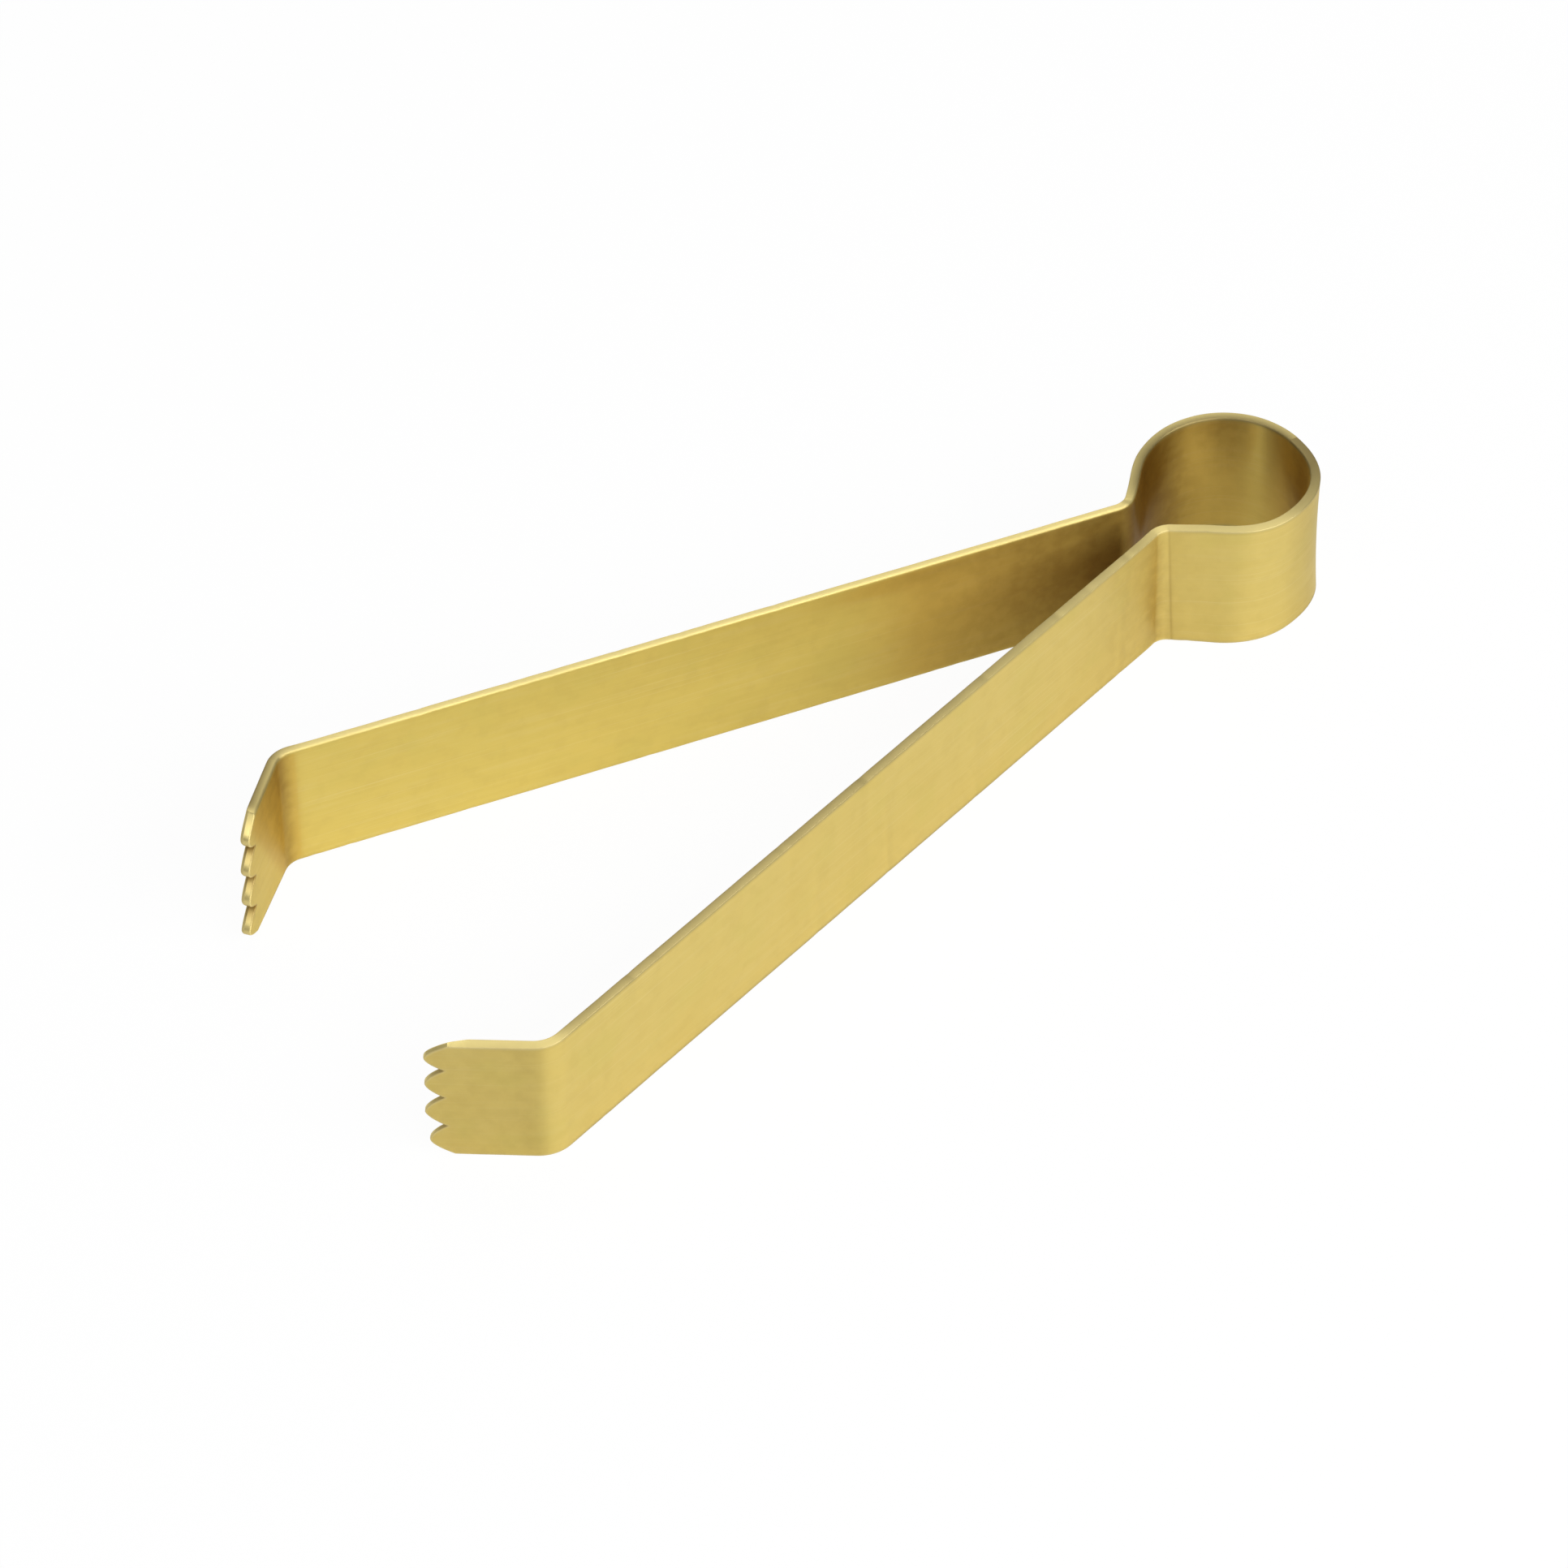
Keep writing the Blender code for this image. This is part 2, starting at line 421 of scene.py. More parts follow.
for side, lean in ARM_LEAN.items():
    print("%s arm's edges wave by %.3f mm and lean by %.2f mm" % (side, 1000 * WAVE_DEPTH, 1000 * lean))

# %% [markdown]
# Painted shade in the hollows
# The hollow side of a bend, the mouth of the loop, the gap between the arms by the neck, the jaws and the
# roots of their teeth lie in shade or reflect shaded things, and here that shade is painted into the colour,
# dark and brown. Along the top of the inner faces past the neck there is also real mottled tarnish, and the
# long edges get painted shade that dims them. Ambient occlusion in the shader would find some of these
# places, but it doesn't survive an export, and the formula is simple: bell curves and smooth steps of the
# distance along the strip, on one face or the other.

# %% Painted shade on the outer face
Spot = namedtuple("Spot", "share place spread")
NECK_SPOT = Spot(0.31, 0.0021, 0.0018)
NECK_LOW, NECK_HIGH = 1.2, 0.7
PAST_NECK_SPOT = Spot(0.13, 0.0036, 0.0060)
PAST_BEND_SPOT = Spot(0.08, 0.0006, 0.0013)
LOOP_DARKENING = 0.05
SHORT_FADE = 0.0008


def spot_at(value, spot, start=0.0):
    """Share of tarnish in a spot: a bell curve of a value, with its place counted from a start."""
    return spot.share * bell(value, start + spot.place, spot.spread)


def outer_painted_shade(starts, s, up):
    """Share of darkening on the outer face, most of it painted shade.

    There is a little darkening on the loop, and painted shade in a spot in the neck's hollow that is deepest
    at the bottom, in one past it and in one past the jaw's bend.
    """
    neck = spot_at(s, NECK_SPOT, starts[NECK]) * between(NECK_LOW, NECK_HIGH, up)
    past_neck = spot_at(s, PAST_NECK_SPOT, starts[ARM])
    past_bend = spot_at(s, PAST_BEND_SPOT, starts[JAW])
    return LOOP_DARKENING * fade(s, starts[NECK], -SHORT_FADE) + neck + past_neck + past_bend


grid_s, grid_z = np.meshgrid(np.linspace(0, paths["right"].starts[TIP], 200), columns, indexing="ij")
left_outer = outer_painted_shade(paths["left"].starts, grid_s, grid_z / WIDTH)
print("left outer face tarnished from %.2f to %.2f" % (left_outer.min(), left_outer.max()))

# %% Painted shade inside the jaw
BEND_SPOT = Spot(0.72, -0.0010, 0.0013)
BEND_LOW = 0.6
JAW_SHARE = 0.66
JAW_EARLY = 0.0014
JAW_FADE = 0.0004
JAW_LIFT = 0.14
JAW_FALL = 1.2


def jaw_painted_shade(starts, s, up):
    """Share of painted shade inside the jaw: a spot in its bend, and a slope down across it from there.

    The slope is the height's share of the width and a lift, less a fall with the way along the jaw.
    """
    in_bend = spot_at(s, BEND_SPOT, starts[JAW]) * between(BEND_LOW, 1, up)
    slope = np.clip(up + JAW_LIFT - JAW_FALL * (s - starts[JAW]) / JAW_LENGTH, 0, 1)
    on_jaw = JAW_SHARE * fade(s, starts[JAW] - JAW_EARLY, JAW_FADE) * slope
    return np.maximum(in_bend, on_jaw)


in_jaw = jaw_painted_shade(paths["right"].starts, grid_s, grid_z / WIDTH)
print("right jaw tarnished up to %.2f" % in_jaw.max())

# %% Painted shade and tarnish between the arms
GAP_SPOTS = (Spot(0.45, 0.005, 0.014), Spot(0.63, 0.001, 0.006))
GAP_TOP_SPOT = Spot(0.34, 0.92, 0.11)
GAP_TOP_REACH = 0.024
GAP_TOP_FADES = (0.001, -0.004)


def gap_shade_and_tarnish(starts, s, up):
    """Share between the arms: painted shade in a long and a short spot past the neck, tarnish along the top.
    """
    spots = [spot_at(s, spot, starts[ARM]) for spot in GAP_SPOTS]
    begin, end = GAP_TOP_FADES
    past_neck = fade(s, starts[ARM], begin) * fade(s, starts[ARM] + GAP_TOP_REACH, end)
    return np.maximum.reduce([*spots, spot_at(up, GAP_TOP_SPOT) * past_neck])


in_gap = gap_shade_and_tarnish(paths["right"].starts, grid_s, grid_z / WIDTH)
print("right arm tarnished up to %.2f" % in_gap.max())

# %% Painted shade inside the loop
MOUTH_SHARE = 0.95
MOUTH_REACH = 0.0063
MOUTH_FADE = 0.0018
LOOP_SHARE = 0.11
LIGHTER_SPOT = Spot(0.45, -0.0040, 0.0022)
BACK_SPOT = Spot(0.65, 0.0027, 0.0027)
TOP_SPOT = Spot(0.55, -0.0085, 0.0033)
TOP_LOW = -0.5


def loop_painted_shade(starts, s, up, round_loop):
    """Share of painted shade inside the loop.

    There is a plateau at the mouth, a low one all round with a lighter spot, a spot beside the loop's back
    and one at the top of its right side. The way round the loop is positive on the left.
    """
    mouth = MOUTH_SHARE * fade(s, starts[MOUTH] - MOUTH_REACH, MOUTH_FADE) * fade(s, starts[ARM], -SHORT_FADE)
    all_round = LOOP_SHARE * fade(s, starts[MOUTH], -SHORT_FADE) * (1 - spot_at(round_loop, LIGHTER_SPOT))
    at_top = spot_at(round_loop, TOP_SPOT) * np.clip(between(TOP_LOW, 1, up), 0, 1)
    return np.maximum.reduce([mouth, all_round, spot_at(round_loop, BACK_SPOT), at_top])


in_loop = loop_painted_shade(paths["right"].starts, grid_s, grid_z / WIDTH, -grid_s)
print("loop tarnished from %.2f to %.2f" % (in_loop.min(), in_loop.max()))

# %% Painted shade of both faces and of the teeth, with some tarnish
JAW_SHADE = 0.11
EDGE_REACH = 0.0003
ROOT_SHARE = {"left": 0.60, "right": 1.0}
ROOT_REACH = 0.00016


def hollow_shade_and_tarnish(side, s, z, to_edge, face):
    """Share of painted shade and tarnish on one face, which leaves out the edges and has a little on the
    jaw's outside.
    """
    starts = paths[side].starts
    up = z / WIDTH
    off_edge = 1 - bell(to_edge, 0, EDGE_REACH)
    if face == OUTER:
        return JAW_SHADE * fade(s, starts[JAW], SHORT_FADE) + outer_painted_shade(starts, s, up) * off_edge
    in_loop = loop_painted_shade(starts, s, up, MIRROR[side] * s)
    return np.maximum.reduce([jaw_painted_shade(starts, s, up), gap_shade_and_tarnish(starts, s, up), in_loop]) * off_edge


def root_painted_shade(side, z, to_teeth):
    """Share of painted shade at the teeth: the square of the way from a tip to the root, but none on corners.
    """
    share, on_corner = tooth_places(z, side)[1:]
    return np.where(on_corner, 0, ROOT_SHARE[side] * share ** 2 * bell(to_teeth, 0, ROOT_REACH))


right_inner = hollow_shade_and_tarnish("right", grid_s, grid_z, WIDTH / 2, INNER)
print("right inner face tarnished from %.2f to %.2f" % (right_inner.min(), right_inner.max()))

# %% Painted shade on the edges
ARM_EDGE_SHARE = {
    ("left", OUTER): 0.66, ("left", INNER): 0.86, ("right", OUTER): 0.20, ("right", INNER): 0.18}
LOOP_EDGE_SHARE = {
    ("left", OUTER): 0.34, ("left", INNER): 0.42, ("right", OUTER): 0.45, ("right", INNER): 0.95}
JAW_EDGE_SHARE = {
    ("left", OUTER): 0.14, ("left", INNER): 0.14, ("right", OUTER): 1.0, ("right", INNER): 0.60}
BACK_EDGE_SPOT = Spot(0.80, 0.001, 0.006)
BY_NECK_SPOT = Spot(0.4, 0.0, 0.020)
FIRST_TOOTH = 0.0041
TOOTH_FADE = 0.0002


def dullness(side, s, to_edge, face):
    """Share of painted shade at the long edges, a bell curve of the distance to the edge.

    It has a value for the loop, one for the arm, which falls towards the neck, and one for the jaw up to its
    first tooth, and on the left there is more near the loop's back.
    """
    starts = paths[side].starts
    on_loop = LOOP_EDGE_SHARE[side, face] * fade(s, starts[NECK], -SHORT_FADE)
    arm = fade(s, starts[ARM], SHORT_FADE) * fade(s, starts[BEND], -SHORT_FADE)
    on_arm = ARM_EDGE_SHARE[side, face] * arm * (1 - spot_at(s, BY_NECK_SPOT, starts[ARM]))
    jaw = fade(s, starts[BEND], SHORT_FADE) * fade(s, starts[TIP] - FIRST_TOOTH, -TOOTH_FADE)
    on_jaw = JAW_EDGE_SHARE[side, face] * jaw
    at_back = spot_at(s, BACK_EDGE_SPOT) if side == "left" else 0
    return (on_loop + on_arm + on_jaw + at_back) * bell(to_edge, 0, EDGE_REACH)


left_edge = dullness("left", grid_s[:, 0], 0.0, OUTER)
print("left outer edge dulled from %.2f to %.2f" % (left_edge.min(), left_edge.max()))

# %% [markdown]
# The two halves
# The strip is one piece, but its loop bends both ways, so it is made as a left and a right half that meet
# at the middle of the loop's back. Each half is an outer and an inner sheet of the same grid, joined by
# a band round the ribbon's edge and closed by a cap at the seam. A UV map holds the distance along the strip
# and round its section in metres, for the brushing to follow, and four attributes hold the distance to the
# edge, the press mark, the painted shade and tarnish of the hollows and the painted shade of the edges.

# %% Points of one half


def ribbon(side):
    """Distance along, height across and distances to the long edges and the teeth, over one half's grid.

    Rows of the jaw are shares of the way from the bend to the tooth line, and the last rows come close
    to it in the steps of a quarter circle.
    """
    path = paths[side]
    jaw_start = path.starts[JAW]
    end = path.starts[TIP] - tooth_line(columns, side)
    slope = np.hypot(1, np.gradient(end, columns))
    last = end - TIP_BAND * slope
    jaw = jaw_start + jaw_rows[:, None] * (last - jaw_start)
    tips = end - TIP_BAND * slope * quarter[::-1, None]
    rows = np.repeat(rows_before_jaw(path)[:, None], len(columns), axis=1)
    s = np.vstack([rows, jaw, tips])
    z = np.broadcast_to(columns, s.shape)
    return s, z, np.minimum(z, WIDTH - z), np.maximum((end - s) / slope, 0)


def sheet_points(side, s, z, to_edge, to_teeth, face):
    """Points of the outer or the inner sheet.

    A point is the middle line at s, moved along the plan normal by half the thickness and the marks,
    at its height between the two long edges.
    """
    path = paths[side]
    at_edge = half_thickness(to_edge, edge_radius(side, s, face))
    at_teeth = half_thickness(to_teeth, TIP_RADIUS[side, face]) - filed_off(side, to_teeth, face)
    offset = face * np.minimum(at_edge, at_teeth) - waist(path, s, z)
    if face == OUTER:
        offset = offset - PRESS_DEPTH * press_mark(path, s, z)
    offset = offset + hand_bend(side, s, z) - jaw_twist(side, s, z)
    low, high = (edge_inset(path, s, seed) for seed in EDGE_SEEDS[side])
    high = high + np.maximum(-face * edge_lean(side, s), 0)
    x, y, heading = midline(path, s)
    return np.stack([
        x - offset * np.sin(heading), MIRROR[side] * (y + offset * np.cos(heading)),
        between(low, WIDTH - high, z / WIDTH)], -1)


def patch(numbers, along, across, turned):
    """Quads between neighbouring rows and columns of a grid of point numbers, and their UV corners."""
    places = np.arange(numbers.size).reshape(numbers.shape)
    round_quad = [places[:-1, :-1], places[1:, :-1], places[1:, 1:], places[:-1, 1:]]
    quads = np.stack(round_quad, -1).reshape(-1, 4)
    if turned:
        quads = quads[:, ::-1]
    uv = np.stack([along.ravel()[quads], across.ravel()[quads]], -1)
    return numbers.ravel()[quads], uv


example = sheet_points("left", *ribbon("left"), OUTER)
print("outer sheet of the left half has %d by %d points" % example.shape[:2])

# %% Faces of one half


def rim_of(grid):
    """Values of a grid round its free edge: up the lower edge, across the teeth and back on the upper."""
    return np.concatenate([grid[:, 0], grid[-1, 1:-1], grid[::-1, -1]])


def half_faces(side, s, z, points):
    """All quads of one half and their UV corners, in metres along and round the strip."""
    mirror = MIRROR[side]
    left = side == "left"
    outer = np.arange(s.size).reshape(s.shape)
    inner = outer + s.size
    rim = np.stack([rim_of(outer), rim_of(inner)])
    steps = np.linalg.norm(np.diff(points[rim[0]], axis=0), axis=1)
    run = np.tile(np.concatenate([[0], np.cumsum(steps)]), (2, 1))
    edge_v = 2 * WIDTH + THICKNESS * np.array([[1], [2]]) + np.zeros_like(run)
    seam = np.stack([outer[0], inner[0]])
    seam_u = THICKNESS * np.array([[0], [1]]) + np.zeros(seam.shape)
    patches = [
        patch(outer, mirror * s, z, left),
        patch(inner, mirror * s, 2 * WIDTH + THICKNESS - z, not left),
        patch(rim, mirror * run, edge_v, left),
        patch(seam, seam_u, np.stack([z[0], z[0]]), not left)]
    quads, uvs = zip(*patches)
    return np.concatenate(quads), np.concatenate(uvs)


def signed_volume(points, quads):
    """Sum of the tetrahedra from the origin to the quads' two triangles: positive if faces point out."""
    a, b, c, d = np.moveaxis(points[quads], 1, 0)
    return (np.cross(a, b) * c + np.cross(a, c) * d).sum() / 6


def open_edges(quads):
    """Number of edges that don't belong to exactly two quads."""
    edges = np.sort(np.stack([quads, np.roll(quads, -1, axis=1)], -1).reshape(-1, 2), axis=1)
    uses = np.unique(edges, axis=0, return_counts=True)[1]
    return int((uses != 2).sum())


quads = half_faces("left", *ribbon("left")[:2], example.reshape(-1, 3))[0]
print("left half has %d faces" % len(quads))

# %% Meshes of the halves
SHARP_ANGLE = math.radians(50)


def make_half(side):
    """Mesh object of one half, with its UV map and its four attributes."""
    s, z, to_edge, to_teeth = ribbon(side)
    sheets = [sheet_points(side, s, z, to_edge, to_teeth, face) for face in (OUTER, INNER)]
    points = np.concatenate([sheet.reshape(-1, 3) for sheet in sheets])
    quads, uv = half_faces(side, s, z, points)
    mesh = bpy.data.meshes.new(side + "_strip")
    mesh.from_pydata(points, [], quads)
    mesh.uv_layers.new(name="strip").data.foreach_set("uv", uv.ravel())
    edge_distance = np.minimum(to_edge, to_teeth)
    pressed = press_mark(paths[side], s, z)
    attributes = {
        "edge_distance": (edge_distance, edge_distance), "press_mark": (pressed, 0 * pressed),
        "tarnish": [
            np.maximum(hollow_shade_and_tarnish(side, s, z, to_edge, face), root_painted_shade(side, z, to_teeth))
            for face in (OUTER, INNER)],
        "dullness": [dullness(side, s, to_edge, face) for face in (OUTER, INNER)]}
    for name, values in attributes.items():
        attribute = mesh.attributes.new(name, "FLOAT", "POINT")
        attribute.data.foreach_set("value", np.stack(values).ravel().astype(np.float32))
    mesh.shade_smooth()
    mesh.set_sharp_from_angle(angle=SHARP_ANGLE)
    half = bpy.data.objects.new(side + "_strip", mesh)
    bpy.context.collection.objects.link(half)
    print("%s half: %d quads, %.0f cubic mm, %d open edges" % (
        side, len(quads), 1e9 * signed_volume(points, quads), open_edges(quads)))
    return half


halves = {side: make_half(side) for side in MIRROR}

# %% [markdown]
# Brushed brass
# The strip was brushed along its length before it was bent, so fine lines follow it round the loop. Handling
# has since dulled it in patches and rubbed its edges bright, and a painted highlight adds to the rubbed
# edges.
# An image texture could show all this, but noise on the strip's own UV map needs no image, has no seams and
# keeps its lines along the strip. Stretching the noise makes the lines: a pattern that is long one way and
# narrow the other.

# %% Helpers for shader nodes


def node(tree, kind, inputs=None, **settings):
    """Add a node with its settings, giving each input a value or the output that feeds it."""
    made = tree.nodes.new(kind)
    for name, value in settings.items():
        setattr(made, name, value)
    for name, value in (inputs or {}).items():
        if isinstance(value, bpy.types.NodeSocket):
            tree.links.new(value, made.inputs[name])
        else:
            made.inputs[name].default_value = value
    return made


def spread(tree, value, low, high, to_low=0.0, to_high=1.0):
    """Smooth ramp from one range of a value to another."""
    ramp = node(
        tree, "ShaderNodeMapRange",
        {"Value": value, "From Min": low, "From Max": high, "To Min": to_low, "To Max": to_high},
        interpolation_type="SMOOTHSTEP")
    return ramp.outputs["Result"]


def combine(tree, operation, first, second):
    """Sum, product or the like of two values."""
    return node(tree, "ShaderNodeMath", {0: first, 1: second}, operation=operation).outputs[0]


def tint(tree, share, first, second):
    """Colour between two others."""
    return node(tree, "ShaderNodeMix", {0: share, 6: first, 7: second}, data_type="RGBA").outputs[2]


print("node helpers ready")

# %% Brush lines and patches
Lines = namedtuple("Lines", "length width detail")
Patches = namedtuple("Patches", "size detail low high")
LINES = {
    "fine": Lines(0.007, 0.00011, 3), "broad": Lines(0.012, 0.0007, 3), "scratch": Lines(0.030, 0.00016, 0)}
PATCHES = {
    "tarnish": Patches(0.014, 3, 0.42, 0.68), "greening": Patches(0.006, 2, 0.48, 0.72),
    "speckle": Patches(0.0017, 3, 0.45, 0.70), "blotch": Patches(0.0014, 3, 0.34, 0.66)}


def brush_lines(tree, uv, lines):
    """Noise drawn out along the strip, with lines of a length and a width in metres."""
    scale = (1 / lines.length, 1 / lines.width, 1)
    stretched = node(tree, "ShaderNodeMapping", {"Vector": uv, "Scale": scale})
    return node(
        tree, "ShaderNodeTexNoise", {"Vector": stretched.outputs[0], "Scale": 1.0, "Detail": lines.detail},
        noise_dimensions="2D").outputs["Fac"]


def patchy(tree, place, patches):
    """Share that rises over a range of noise in space, in patches of about a size in metres."""
    noise = node(
        tree, "ShaderNodeTexNoise", {"Vector": place, "Scale": 1 / patches.size, "Detail": patches.detail})
    return spread(tree, noise.outputs["Fac"], patches.low, patches.high)


for name, lines in LINES.items():
    print("%s lines %.0f mm long and %.2f mm wide" % (name, 1000 * lines.length, 1000 * lines.width))

# %% Marks that the finish shows
ATTRIBUTES = {"edge": "edge_distance", "press": "press_mark", "hollow": "tarnish", "dulled": "dullness"}
# Pale rubbed edges: wear, and in part a painted highlight.
RUBBED_HIGHLIGHT_REACH, RUBBED_HIGHLIGHT_FULL = 0.00034, 0.00002


def brass_marks(tree):
    """Outputs of all the marks by name: attributes, lines, patches, the inner face and the rubbed, highlit
    edges.
    """
    uv = node(tree, "ShaderNodeUVMap", uv_map="strip").outputs["UV"]
    place = node(tree, "ShaderNodeTexCoord").outputs["Object"]
    marks = {
        name: node(tree, "ShaderNodeAttribute", attribute_name=attribute).outputs["Fac"]
        for name, attribute in ATTRIBUTES.items()}
    marks.update((name, brush_lines(tree, uv, lines)) for name, lines in LINES.items())
    marks.update((name, patchy(tree, place, patches)) for name, patches in PATCHES.items())
    across = node(tree, "ShaderNodeSeparateXYZ", {0: uv}).outputs["Y"]
    marks["inner"] = spread(tree, across, WIDTH, WIDTH + THICKNESS)
    marks["rubbed"] = spread(tree, marks["edge"], RUBBED_HIGHLIGHT_REACH, RUBBED_HIGHLIGHT_FULL)
    return marks


print("%d kinds of mark" % (len(ATTRIBUTES) + len(LINES) + len(PATCHES) + 2))

# %% [markdown]
# Colours of the brass
# Old brass has no single colour. Its brushed lines are pale or dull and its patches greenish or dull. Its
# edges are pale where they are rubbed, with a painted highlight, and elsewhere dark with painted shade. Its
# hollows go from amber to brown as the painted shade, with some tarnish, deepens, the press line is painted
# shade and the inner face is warmer, a painted reflection. One picture with all of it could be painted by
# hand. Here each colour is laid over those before it by its own share, the way layers lie on the metal, so
# any one of them can be changed alone.

# %% Colours
BRASS = (0.765, 0.600, 0.185, 1)
# Warmer brass of the inner faces, a painted reflection of the brass facing them.
WARM_REFLECTION = (0.785, 0.622, 0.165, 1)
DULL = (0.640, 0.475, 0.122, 1)
# Pale of the brushed lines, scratches and rubbed edges, the last in part a painted highlight.
PALE_AND_HIGHLIGHT = (0.870, 0.755, 0.400, 1)
GREENISH = (0.700, 0.585, 0.155, 1)
# Amber and brown of the painted shade in the hollows, with some real tarnish.
AMBER = (0.700, 0.460, 0.090, 1)
BROWN = (0.270, 0.150, 0.024, 1)
# Dark of the painted shade in the press mark's groove.
PRESS_SHADE = (0.300, 0.190, 0.050, 1)
# Olive of the painted shade that dims the long edges.
OLIVE_EDGE_SHADE = (0.300, 0.235, 0.095, 1)
OUTER_STREAKS, INNER_STREAKS = 0.06, 0.10
PALE_LINES, DULL_LINES = (0.48, 0.74), (0.50, 0.26)
SCRATCHES, SCRATCH_SHARE = (0.74, 0.86), 0.2
LAYER_SHARE = {"greening": 0.32, "tarnish": 0.14, "speckle": 0.16, "rubbed": 0.50, "press": 0.35}
print("9 colours and %d layers with a fixed share" % len(LAYER_SHARE))

# %% Colours of the hollows
AMBER_SHARE = 0.55
AMBER_FULL = 0.13
AMBER_EDGE = (0.0001, 0.0006)
BLOTCH_SHARE = 0.28


def amber_share(tree, marks):
    """Share of amber: it comes with the first of the painted shade and tarnish, on the inner face and away
    from the edges.
    """
    off_edge = combine(tree, "MULTIPLY", marks["inner"], spread(tree, marks["edge"], *AMBER_EDGE))
    first_shade_and_tarnish = spread(tree, marks["hollow"], 0.0, AMBER_FULL, 0.0, AMBER_SHARE)
    return combine(tree, "MULTIPLY", off_edge, first_shade_and_tarnish)


def brown_share(tree, marks):
    """Share of brown: the painted shade and tarnish, made blotchy where it is neither none nor full."""
    hollow = marks["hollow"]
    part_brown = combine(tree, "SUBTRACT", hollow, combine(tree, "MULTIPLY", hollow, hollow))
    up_or_down = combine(tree, "SUBTRACT", marks["blotch"], 0.5)
    blotch = combine(tree, "MULTIPLY", up_or_down, 2 * BLOTCH_SHARE)
    return combine(tree, "ADD", hollow, combine(tree, "MULTIPLY", part_brown, blotch))


print("blotches change the brown by up to %.2f" % (BLOTCH_SHARE / 4))

# %% Layers of colour


def brass_colour(tree, marks):
    """Brass with the other colours laid over it in turn, each by its own share."""
    streaks = spread(tree, marks["inner"], 0, 1, OUTER_STREAKS, INNER_STREAKS)
    pale_lines, dull_lines = (
        combine(tree, "MULTIPLY", spread(tree, marks["broad"], *ends), streaks)
        for ends in (PALE_LINES, DULL_LINES))
    scratches = spread(tree, marks["scratch"], *SCRATCHES, 0.0, SCRATCH_SHARE)
    fixed = {name: combine(tree, "MULTIPLY", marks[name], share) for name, share in LAYER_SHARE.items()}
    # The warmer inner face is a painted reflection, the rubbed edges add a painted highlight to their wear,
    # amber and brown are painted shade with some tarnish, and the olive edges and the press line are painted
    # shade.
    colour = tint(tree, marks["inner"], BRASS, WARM_REFLECTION)
    for share, over in (
            (pale_lines, PALE_AND_HIGHLIGHT), (fixed["greening"], GREENISH), (fixed["tarnish"], DULL),
            (fixed["speckle"], DULL), (dull_lines, DULL), (scratches, PALE_AND_HIGHLIGHT), (fixed["rubbed"], PALE_AND_HIGHLIGHT),
            (amber_share(tree, marks), AMBER), (brown_share(tree, marks), BROWN),
            (marks["dulled"], OLIVE_EDGE_SHADE), (fixed["press"], PRESS_SHADE)):
        colour = tint(tree, share, colour, over)
    return colour


print("colours ready to be laid over the brass")

# %% [markdown]
# Surface of the brass
# Brushed metal is smooth along its lines and rough across them, which draws each highlight out sideways. An
# anisotropic shader does that without modelling a single groove, if it is told which way the lines run: a
# tangent from the strip's UV map. The fine lines change the roughness and raise a very shallow bump,
# tarnished patches and rubbed edges are a little rougher, and a quarter turn puts the spread across the
# lines.

# %% Brushed brass
FINE_RANGE = (0.30, 0.70)
ROUGHNESS = (0.38, 0.41)
EXTRA_ROUGHNESS = {"tarnish": 0.04, "rubbed": 0.06}
BROAD_HEIGHT = 0.6
BUMP_STRENGTH = 0.02
BUMP_DISTANCE = 0.00002
ANISOTROPY = 0.85
QUARTER_TURN = 0.25


def brushed_brass():
    """Brass brushed along the strip, dull in patches, pale at its edges from wear and painted highlight,
    brown in its hollows from painted shade.
    """
    material = bpy.data.materials.new("brushed_brass")
    material.use_nodes = True
    tree = material.node_tree
    marks = brass_marks(tree)
    roughness = spread(tree, marks["fine"], *FINE_RANGE, *ROUGHNESS)
    for name, extra in EXTRA_ROUGHNESS.items():
        roughness = combine(tree, "ADD", roughness, combine(tree, "MULTIPLY", marks[name], extra))
    height = combine(tree, "ADD", marks["fine"], combine(tree, "MULTIPLY", marks["broad"], BROAD_HEIGHT))
    bump = node(
        tree, "ShaderNodeBump", {"Strength": BUMP_STRENGTH, "Distance": BUMP_DISTANCE, "Height": height})
    along = node(tree, "ShaderNodeTangent", direction_type="UV_MAP", uv_map="strip")
    shader = tree.nodes["Principled BSDF"]
    shader.inputs["Metallic"].default_value = 1
    shader.inputs["Anisotropic"].default_value = ANISOTROPY
    shader.inputs["Anisotropic Rotation"].default_value = QUARTER_TURN
    tree.links.new(brass_colour(tree, marks), shader.inputs["Base Color"])
    tree.links.new(roughness, shader.inputs["Roughness"])
    tree.links.new(bump.outputs["Normal"], shader.inputs["Normal"])
    tree.links.new(along.outputs["Tangent"], shader.inputs["Tangent"])
    print("brushed brass has %d nodes" % len(tree.nodes))
    return material


brass = brushed_brass()

# %% [markdown]
# The halves in place of the solids
# When the arms are squeezed, the loop bends all the way round, not at one point. Riding a half on its arm
# alone would break the loop's back open. Here each half takes the brass and has its transform baked into its
# mesh, and the solids of the loop and of that side's shoulder, arm and jaw are hidden.

# %% Give the halves the brass and hide the solids
for side, half in halves.items():
    half.data.materials.append(brass)
    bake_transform(half)
    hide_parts("spring_loop", side + "_shoulder", side + "_arm", side + "_jaw")
    print(half.name, "bends between the loop and the", side, "side")

# %% [markdown]
# The floor
# Tongs like these are shown on a white sheet. A plain white floor would render grey where the light falls
# off, so part of its colour comes from an emission that only the camera and mirrors see: it stays white,
# and the rest of it, an ordinary matt white, keeps the soft shadow of the tongs.

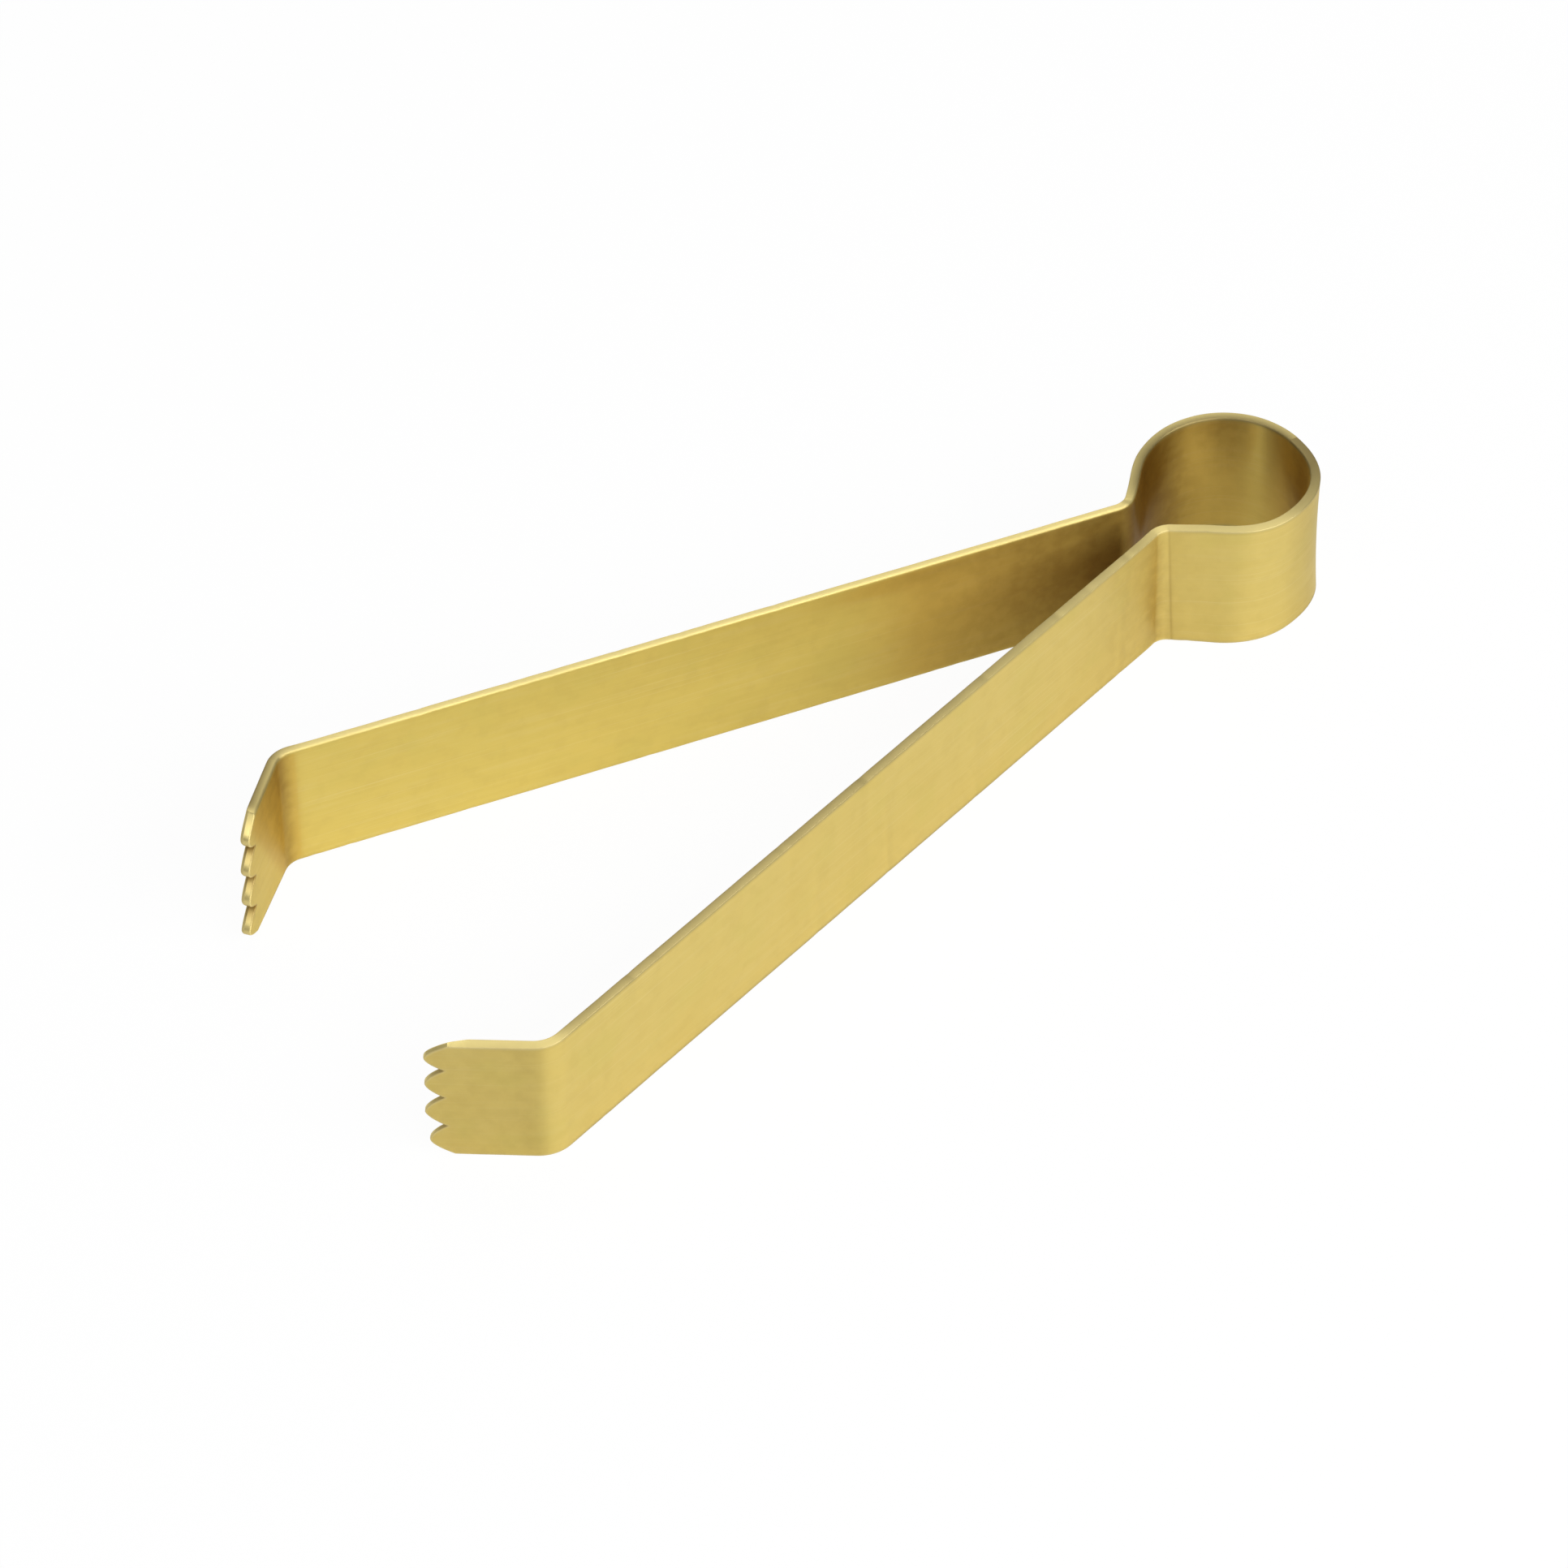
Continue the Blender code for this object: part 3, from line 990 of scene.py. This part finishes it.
# %% Floor
FLOOR_SIZE = 3.0
FLOOR_DROP = 0.00005
PAPER = (0.94, 0.94, 0.94, 1)
WHITE_TO_CAMERA = 0.94
WHITE_IN_METAL = 0.38
GLOW = 1.012


def mirror_rays(tree, rays):
    """One for a ray that left metal or glass, and nought for others."""
    return combine(tree, "MAXIMUM", rays.outputs["Is Glossy Ray"], rays.outputs["Is Transmission Ray"])


def white_paper():
    """Matt white, mixed with a plain white glow for the camera and for reflections."""
    material = bpy.data.materials.new("white_paper")
    material.use_nodes = True
    tree = material.node_tree
    tree.nodes.clear()
    rays = node(tree, "ShaderNodeLightPath")
    to_camera = combine(tree, "MULTIPLY", rays.outputs["Is Camera Ray"], WHITE_TO_CAMERA)
    in_metal = combine(tree, "MULTIPLY", mirror_rays(tree, rays), WHITE_IN_METAL)
    share = combine(tree, "MAXIMUM", to_camera, in_metal)
    matt = node(tree, "ShaderNodeBsdfDiffuse", {"Color": PAPER})
    glow = node(tree, "ShaderNodeEmission", {"Strength": GLOW})
    mix = node(tree, "ShaderNodeMixShader", {0: share, 1: matt.outputs[0], 2: glow.outputs[0]})
    node(tree, "ShaderNodeOutputMaterial", {"Surface": mix.outputs[0]})
    return material


half_floor = FLOOR_SIZE / 2
floor_mesh = bpy.data.meshes.new("floor")
floor_corners = half_floor * np.array([(-1, -1), (1, -1), (1, 1), (-1, 1)])
floor_mesh.from_pydata([(x, y, -FLOOR_DROP) for x, y in floor_corners], [], [(0, 1, 2, 3)])
floor_mesh.materials.append(white_paper())
floor = bpy.data.objects.new("floor", floor_mesh)
bpy.context.collection.objects.link(floor)
print("floor %.1f m wide" % FLOOR_SIZE)

# %% [markdown]
# The light
# Brass shows what is round it more than its own colour, so the studio matters as much as the finish. A wide
# soft box to the right of the camera lights the flats of both arms, one above the camera lights the jaws, and
# one behind the tongs lights the upper edges. The walls are plain and dim, which leaves the loop's inside
# deep in tone. Small lamps would draw hard glints, and a photograph of a room would show its windows.

# %% Surroundings
scene = bpy.context.scene
WALL_LEVEL = 0.15


def studio_walls():
    """Plain grey-white walls: white to the camera, in part to metal, and dimmer as a light."""
    world = bpy.data.worlds.new("studio")
    world.use_nodes = True
    tree = world.node_tree
    rays = node(tree, "ShaderNodeLightPath")
    in_metal = combine(tree, "MULTIPLY", mirror_rays(tree, rays), WHITE_IN_METAL)
    share = combine(tree, "MAXIMUM", rays.outputs["Is Camera Ray"], in_metal)
    strength = node(tree, "ShaderNodeMix", {0: share, 2: WALL_LEVEL, 3: 1.0})
    background = tree.nodes["Background"]
    background.inputs["Color"].default_value = (1, 1, 1, 1)
    tree.links.new(strength.outputs[0], background.inputs["Strength"])
    return world


scene.world = studio_walls()
print("walls shine at %.2f of white" % WALL_LEVEL)

# %% Soft boxes
SoftBox = namedtuple("SoftBox", "place width height glow")
SOFT_BOXES = {
    "front": SoftBox((-0.180, 0.620, 0.480), 1.00, 0.45, 3.6),
    "above": SoftBox((0.389, 0.243, 0.655), 0.70, 0.45, 1.4),
    "back": SoftBox((-0.25, -0.36, 0.70), 0.50, 0.50, 1.6)}


def add_soft_box(name, box):
    """Lamp of a width and a height at a place, facing the tongs, whose face shows the given brightness."""
    data = bpy.data.lights.new(name, "AREA")
    data.shape = "RECTANGLE"
    data.size = box.width
    data.size_y = box.height
    data.energy = box.glow * math.pi * box.width * box.height
    lamp = bpy.data.objects.new(name, data)
    lamp.location = box.place
    lamp.rotation_euler = (-Vector(box.place)).to_track_quat("-Z", "Y").to_euler()
    bpy.context.collection.objects.link(lamp)
    print("%s soft box %.2f by %.2f m" % (name, box.width, box.height))


for name, box in SOFT_BOXES.items():
    add_soft_box(name, box)

# %% [markdown]
# The camera
# The tongs are seen from above the left jaw, about halfway between level and straight down, through a long
# lens, so the far arm is hardly smaller than the near one. A camera could be aimed by hand, but placing it by
# azimuth, elevation, roll and distance from a point keeps each number apart.

# %% Camera
VIEW_AZIMUTH = math.radians(145.15)
VIEW_ELEVATION = math.radians(45.40)
VIEW_ROLL = math.radians(-1.22)
VIEW_DISTANCE = 0.66151
LENS_MM = 156.96
SENSOR_MM = 36
PAST_LOOP = 0.056508
TO_LEFT = 0.003013
view_centre = Vector((loop_centre[0] + PAST_LOOP, TO_LEFT, WIDTH / 2))
back = Vector((
    math.sin(VIEW_AZIMUTH) * math.cos(VIEW_ELEVATION), -math.cos(VIEW_AZIMUTH) * math.cos(VIEW_ELEVATION),
    math.sin(VIEW_ELEVATION)))
level_right = Vector((math.cos(VIEW_AZIMUTH), math.sin(VIEW_AZIMUTH), 0))
level_up = back.cross(level_right)
right = level_right * math.cos(VIEW_ROLL) + level_up * math.sin(VIEW_ROLL)
up = level_up * math.cos(VIEW_ROLL) - level_right * math.sin(VIEW_ROLL)
camera_data = bpy.data.cameras.new("camera")
camera_data.sensor_width = SENSOR_MM
camera_data.lens = LENS_MM
camera = bpy.data.objects.new("camera", camera_data)
turn = Matrix((right, up, back)).transposed().to_4x4()
camera.matrix_world = Matrix.Translation(view_centre + back * VIEW_DISTANCE) @ turn
bpy.context.collection.objects.link(camera)
scene.camera = camera
scene.view_settings.view_transform = "Standard"
print("camera %.2f m from the tongs" % VIEW_DISTANCE)
